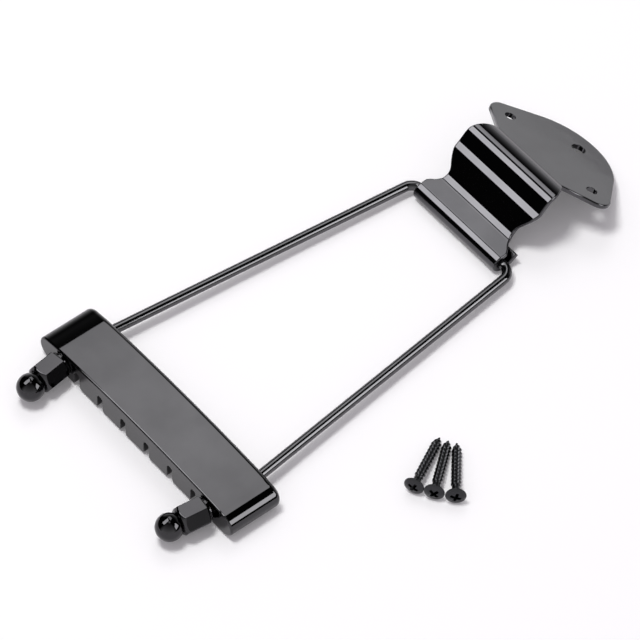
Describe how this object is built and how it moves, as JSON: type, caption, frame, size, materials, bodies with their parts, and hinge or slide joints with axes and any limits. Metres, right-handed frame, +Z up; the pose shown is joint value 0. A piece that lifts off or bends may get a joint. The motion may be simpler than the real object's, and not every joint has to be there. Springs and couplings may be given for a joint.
{
  "type": "trapeze tailpiece",
  "caption": "Trapeze tailpiece: a wire frame hinged in a rolled sheet bracket carries a slotted crossbar, held by ball nuts, with loose screws.",
  "frame": {"origin": "centre of the end-pin hole, on the bracket's mounting face", "axes": "+Y from the crossbar to the bracket's apex, along the length; +Z up from the table; +X along the crossbar, to the player's right when the crossbar is nearest"},
  "size_m": [0.1171, 0.1862, 0.0181],
  "materials": {
    "bracket_sheet": "black nickel, polished",
    "frame_wire": "black nickel, polished",
    "bar_casting": "black nickel, polished",
    "nut_metal": "black nickel, polished",
    "screw_steel": "black zinc, semi-gloss"
  },
  "bodies": {
    "bracket": {"hinge_bracket": "bracket_sheet", "first_screw": "screw_steel", "second_screw": "screw_steel", "third_screw": "screw_steel"},
    "frame": {"wire_frame": "frame_wire", "crossbar": "bar_casting"},
    "left_nut": {"left_ball_nut": "nut_metal"},
    "right_nut": {"right_ball_nut": "nut_metal"}
  },
  "joints": [
    {"name": "frame_swing", "type": "hinge", "parent": "bracket", "child": "frame", "pos_m": [0, -0.04299, -0.00058], "axis": [-1, 0, 0], "range_deg": [-186, 158]},
    {"name": "left_nut_turn", "type": "hinge", "parent": "frame", "child": "left_nut", "pos_m": [-0.0329, -0.16317, 0.0014], "axis": [0.1288, -0.9915, 0.0163], "continuous": true},
    {"name": "right_nut_turn", "type": "hinge", "parent": "frame", "child": "right_nut", "pos_m": [0.0329, -0.16317, 0.0014], "axis": [-0.1288, -0.9915, 0.0163], "continuous": true}
  ]
}
